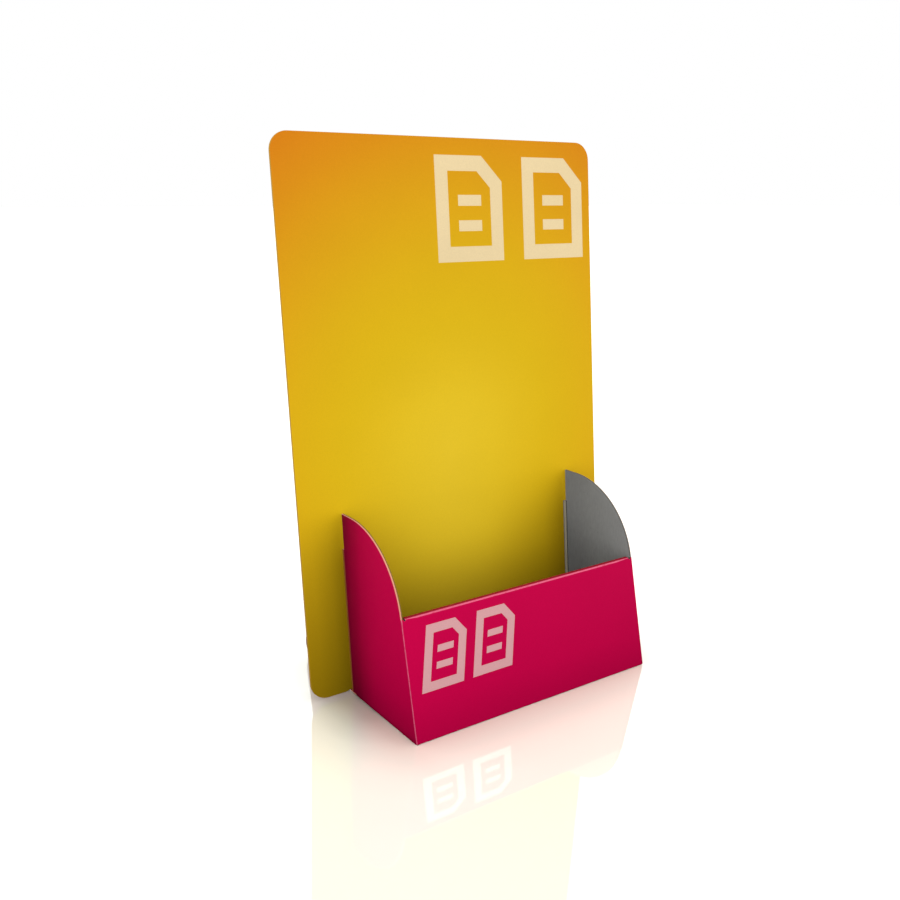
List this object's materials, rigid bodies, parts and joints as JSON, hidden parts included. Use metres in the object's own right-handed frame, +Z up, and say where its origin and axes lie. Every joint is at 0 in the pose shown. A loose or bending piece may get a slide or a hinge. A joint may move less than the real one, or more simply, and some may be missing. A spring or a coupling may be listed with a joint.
{
  "type": "leaflet display stand",
  "caption": "Counter-top leaflet stand in printed board: a tall leaning back panel with rounded corners, slotted onto a folded leaflet pocket with curved sides and rear feet.",
  "frame": {"origin": "on the ground, at the middle of the footprint", "axes": "+Z up, the pocket's front faces -Y, +X to the right seen from the front"},
  "size_m": [0.21, 0.1248, 0.3018],
  "materials": {
    "panel_board": "printed board, satin varnish, grey unprinted back",
    "pocket_board": "printed board, satin varnish, grey unprinted inside"
  },
  "bodies": {
    "root": {"back_panel": "panel_board", "pocket": "pocket_board"}
  },
  "joints": []
}
